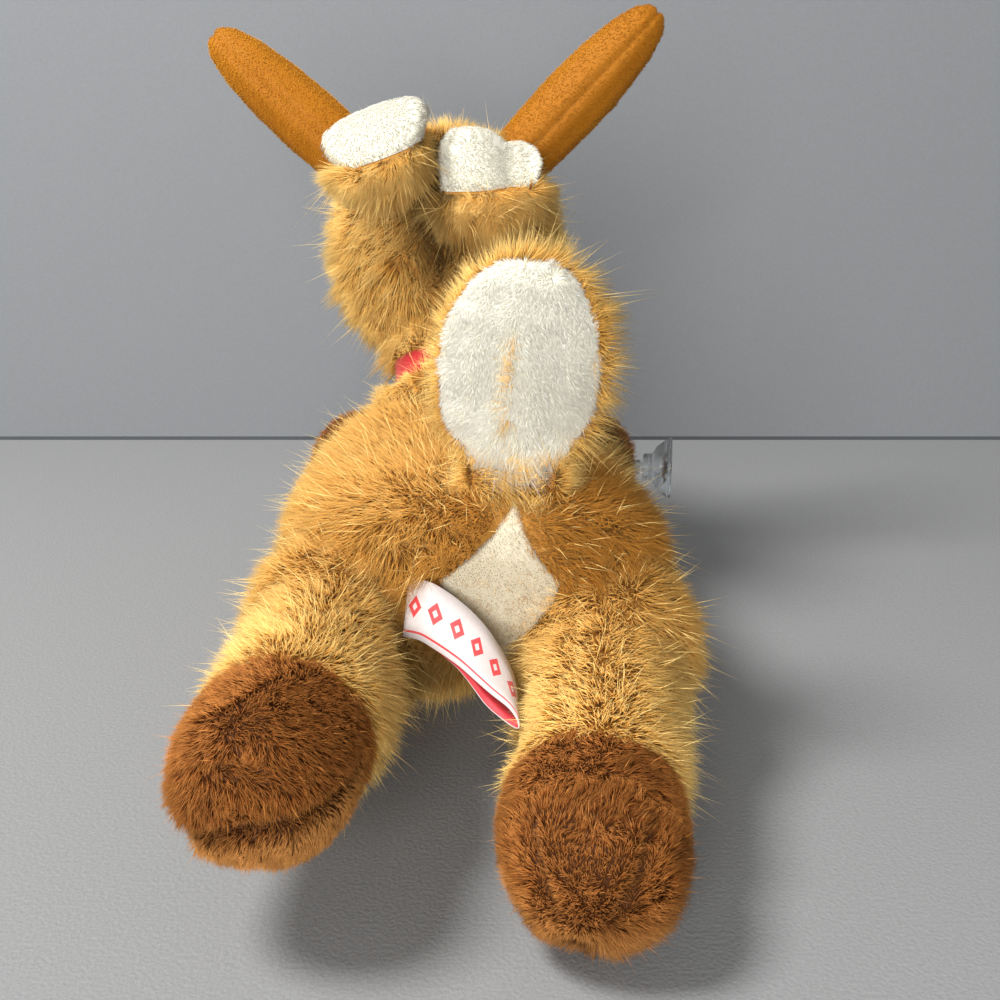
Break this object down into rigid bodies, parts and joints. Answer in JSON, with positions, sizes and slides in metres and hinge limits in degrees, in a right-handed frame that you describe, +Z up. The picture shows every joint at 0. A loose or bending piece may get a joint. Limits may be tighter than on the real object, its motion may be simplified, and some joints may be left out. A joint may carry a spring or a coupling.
{
  "type": "plush deer",
  "caption": "Stuffed toy deer lying on its belly, with antlers, laid-back ears, a raised tail, legs that swing and a suction cup on each front hoof.",
  "frame": {"origin": "on the table, at the middle of the flat place under the belly", "axes": "+Y from the tail to the head, +Z up, +X to the deer's right"},
  "size_m": [0.2204, 0.3805, 0.2747],
  "materials": {
    "plush_tan": "long-pile plush, tan, lightly matted",
    "plush_hoof": "short-pile plush, brown",
    "plush_cream": "short-pile velour, cream",
    "plush_white": "short-pile plush, warm white",
    "velour_orange": "brushed velour, orange gold",
    "stuffing": "polyester fibre filling",
    "plastic_black": "polished moulded plastic",
    "plastic_washer": "moulded lock washer",
    "satin_red": "satin ribbon, red",
    "label_tape": "woven satin label tape, white with red weave",
    "vinyl_clear": "clear soft vinyl"
  },
  "bodies": {
    "torso": {"torso_skin": "plush_tan", "torso_stuffing": "stuffing", "belly_panel": "plush_cream", "care_label": "label_tape"},
    "head": {"head_skin": "plush_tan", "head_stuffing": "stuffing", "nose": "plastic_black", "nose_washer": "plastic_washer", "eye_left": "plastic_black", "eye_left_washer": "plastic_washer", "eye_right": "plastic_black", "eye_right_washer": "plastic_washer", "antler_left_skin": "velour_orange", "antler_left_stuffing": "stuffing", "antler_right_skin": "velour_orange", "antler_right_stuffing": "stuffing", "neck_ribbon": "satin_red", "ribbon_bow": "satin_red"},
    "ear_left": {"ear_left_back": "plush_tan", "ear_left_lining": "plush_cream"},
    "ear_right": {"ear_right_back": "plush_tan", "ear_right_lining": "plush_cream"},
    "tail": {"tail_back": "plush_tan", "tail_lining": "plush_white", "tail_stuffing": "stuffing"},
    "hind_left": {"hind_left_skin": "plush_tan", "hind_left_hoof": "plush_hoof", "hind_left_sole": "plush_hoof", "hind_left_stuffing": "stuffing"},
    "hind_right": {"hind_right_skin": "plush_tan", "hind_right_hoof": "plush_hoof", "hind_right_sole": "plush_hoof", "hind_right_stuffing": "stuffing"},
    "front_left": {"front_left_skin": "plush_tan", "front_left_hoof": "plush_hoof", "front_left_sole": "plush_hoof", "front_left_stuffing": "stuffing", "front_left_suction_cup": "vinyl_clear"},
    "front_right": {"front_right_skin": "plush_tan", "front_right_hoof": "plush_hoof", "front_right_sole": "plush_hoof", "front_right_stuffing": "stuffing", "front_right_suction_cup": "vinyl_clear"}
  },
  "joints": [
    {"name": "neck_nod", "type": "hinge", "parent": "torso", "child": "head", "pos_m": [-0.01201, 0.0442, 0.10595], "axis": [1, 0, 0], "range_deg": [-15, 18]},
    {"name": "ear_left_flap", "type": "hinge", "parent": "head", "child": "ear_left", "pos_m": [-0.04501, 0.06821, 0.21796], "axis": [0.9397, 0, 0.342], "range_deg": [-40, 6]},
    {"name": "ear_right_flap", "type": "hinge", "parent": "head", "child": "ear_right", "pos_m": [0.00199, 0.06821, 0.21832], "axis": [0.9703, 0, -0.2419], "range_deg": [-40, 4]},
    {"name": "tail_tilt", "type": "hinge", "parent": "torso", "child": "tail", "pos_m": [0.01, -0.09304, 0.11402], "axis": [1, 0, 0], "range_deg": [-12, 58]},
    {"name": "hind_left_swing", "type": "hinge", "parent": "torso", "child": "hind_left", "pos_m": [-0.05203, -0.09019, 0.05701], "axis": [-0.9945, 0.1045, 0], "range_deg": [-28, 16]},
    {"name": "hind_right_swing", "type": "hinge", "parent": "torso", "child": "hind_right", "pos_m": [0.04209, -0.09642, 0.05197], "axis": [-0.9945, 0.1045, 0], "range_deg": [-15, 8]},
    {"name": "front_left_swing", "type": "hinge", "parent": "torso", "child": "front_left", "pos_m": [-0.05934, 0.02996, 0.04502], "axis": [0.9962, 0.0872, 0], "range_deg": [-28, 8]},
    {"name": "front_right_swing", "type": "hinge", "parent": "torso", "child": "front_right", "pos_m": [0.04002, 0.02996, 0.04502], "axis": [0.9925, -0.1219, 0], "range_deg": [-28, 8]}
  ]
}
